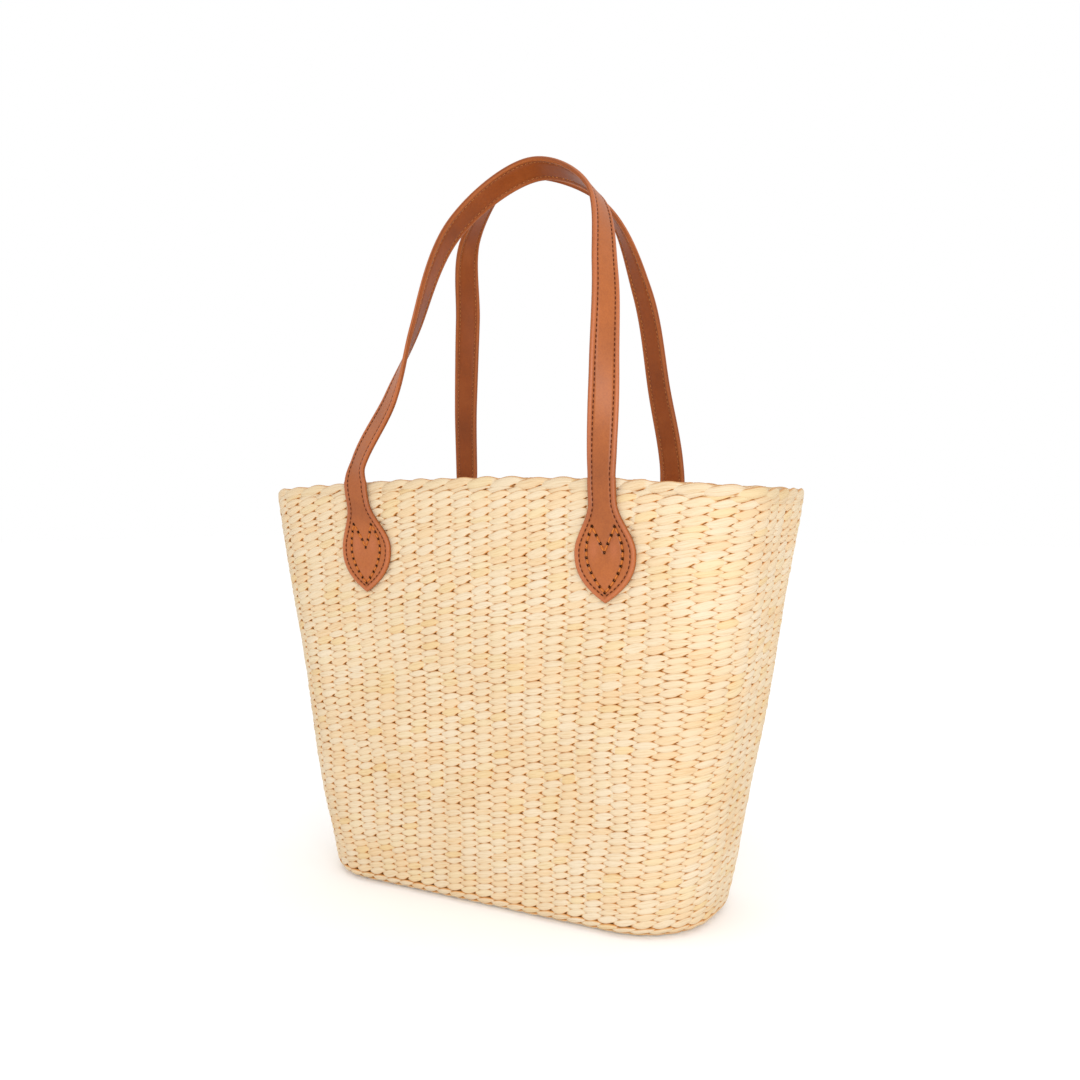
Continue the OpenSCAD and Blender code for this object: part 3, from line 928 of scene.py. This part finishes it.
def ring_thread(handle, which, hand):
    """The hand-sewn ring that holds a leaf: thread from hole to hole outside, and again inside the basket."""
    a = np.stack(ring_point(np.arange(RING_HOLES) / RING_HOLES), 1)
    b = np.roll(a, -1, 0)
    mid = (a + b) / 2
    length = np.linalg.norm(b - a, axis=1) - THREAD_SHORT
    away = np.tile([0, -math.cos(SLOPE), -math.sin(SLOPE)], (RING_HOLES, 1))
    outside = STACK_T / 2 + edge_profile(np.array(9.0)) - 0.42
    inside = -WALL_T - 2 * GAP - 0.45

    def on_tab(p, level):
        x = handle.tab_x[which] + neck_lean(p[:, 1], handle.shift[which]) + p[:, 0]
        return on_front(x, p[:, 1], level)

    parts = []
    for level, out in ((outside, away), (inside, -away)):
        centre = on_tab(mid, level)
        along = unit(on_tab(b, level) - centre)
        parts += [capsules(c[None], d[None], o[None], s, THREAD_W, THREAD_SAG, 8)
                  for c, d, o, s in zip(centre, along, out, length)]
    points, quads, tris = join_parts(parts)
    obj = make_mesh(f"{handle.side}_{hand}_ring_thread", handle.place(points), quads, RING_THREAD, tris=tris)
    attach(obj, "basket")
    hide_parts(f"{handle.side}_{hand}_tab_thread")


for side in ("front", "back"):
    handle = Handle(side)
    leather_object(f"{side}_handle_leather", handle, 1, 1, 51, LEATHER,
                   [f"{side}_handle_strap", f"{side}_left_tab", f"{side}_right_tab"])
    leather_object(f"{side}_handle_backing", handle, -1, 2, 9, LINING,
                   [f"{side}_handle_lining", f"{side}_left_tab_lining", f"{side}_right_tab_lining"])
    stitches_object(f"{side}_edge_stitches", handle, 1, 3.8, 2.6, 0.9, EDGE_THREAD,
                    [f"{side}_handle_stitching"])
    stitches_object(f"{side}_lining_stitches", handle, -1, 3.9, 2.6, 0.75, LINING_THREAD, [])
    ring_thread(handle, 0, "left")
    ring_thread(handle, 1, "right")


# ---- camera, light and floor ----

# The camera's place and lens were fitted to the bag's outline in the photo.
CAMERA_PLACE = Vector((0.45196, -0.74823, 0.30505))
CAMERA_LOOK = Vector((-0.50308, 0.86380, -0.02747))
CAMERA_LENS = 35.65

camera_data = bpy.data.cameras.new("camera")
camera_data.lens = CAMERA_LENS
camera_data.sensor_width = 36.0
camera_data.clip_start = 0.01
camera_data.clip_end = 50.0
camera = bpy.data.objects.new("camera", camera_data)
camera.location = CAMERA_PLACE
camera.rotation_euler = CAMERA_LOOK.to_track_quat("-Z", "Y").to_euler()
bpy.context.scene.collection.objects.link(camera)
bpy.context.scene.camera = camera


def area_light(name, place, aim, power, size):
    data = bpy.data.lights.new(name, "AREA")
    data.energy = power
    data.size = size
    light = bpy.data.objects.new(name, data)
    light.location = place
    light.rotation_euler = (Vector(aim) - Vector(place)).to_track_quat("-Z", "Y").to_euler()
    bpy.context.scene.collection.objects.link(light)


area_light("key", (0.75, -0.95, 0.55), (0.1, 0.0, 0.2), 5.5, 0.6)

world = bpy.data.worlds.new("studio")
world.use_nodes = True
world.node_tree.nodes["Background"].inputs["Color"].default_value = (1.0, 1.0, 1.0, 1.0)
world.node_tree.nodes["Background"].inputs["Strength"].default_value = 1.0
bpy.context.scene.world = world
bpy.context.scene.view_settings.view_transform = "Standard"

floor_material = Material("floor")
floor_place = floor_material.add("ShaderNodeTexCoord").outputs["Object"]
floor_tone = floor_material.ramp(floor_material.noise(floor_place, 1.5), [
    (0.3, (0.93, 0.93, 0.93, 1)), (0.7, (0.95, 0.95, 0.95, 1))])
floor_material.feed(floor_material.shader, {
    "Base Color": floor_tone, "Roughness": 0.9, "Specular IOR Level": 0.0,
    "Emission Color": (1.0, 1.0, 1.0, 1.0), "Emission Strength": 0.10})
FLOOR_HALF = 9000.0
floor_points = [[x * FLOOR_HALF, y * FLOOR_HALF, 0.0] for x, y in ((-1, -1), (1, -1), (1, 1), (-1, 1))]
floor = make_mesh("floor", floor_points, [[0, 1, 2, 3]], floor_material.material)
floor.location.z = -0.0004
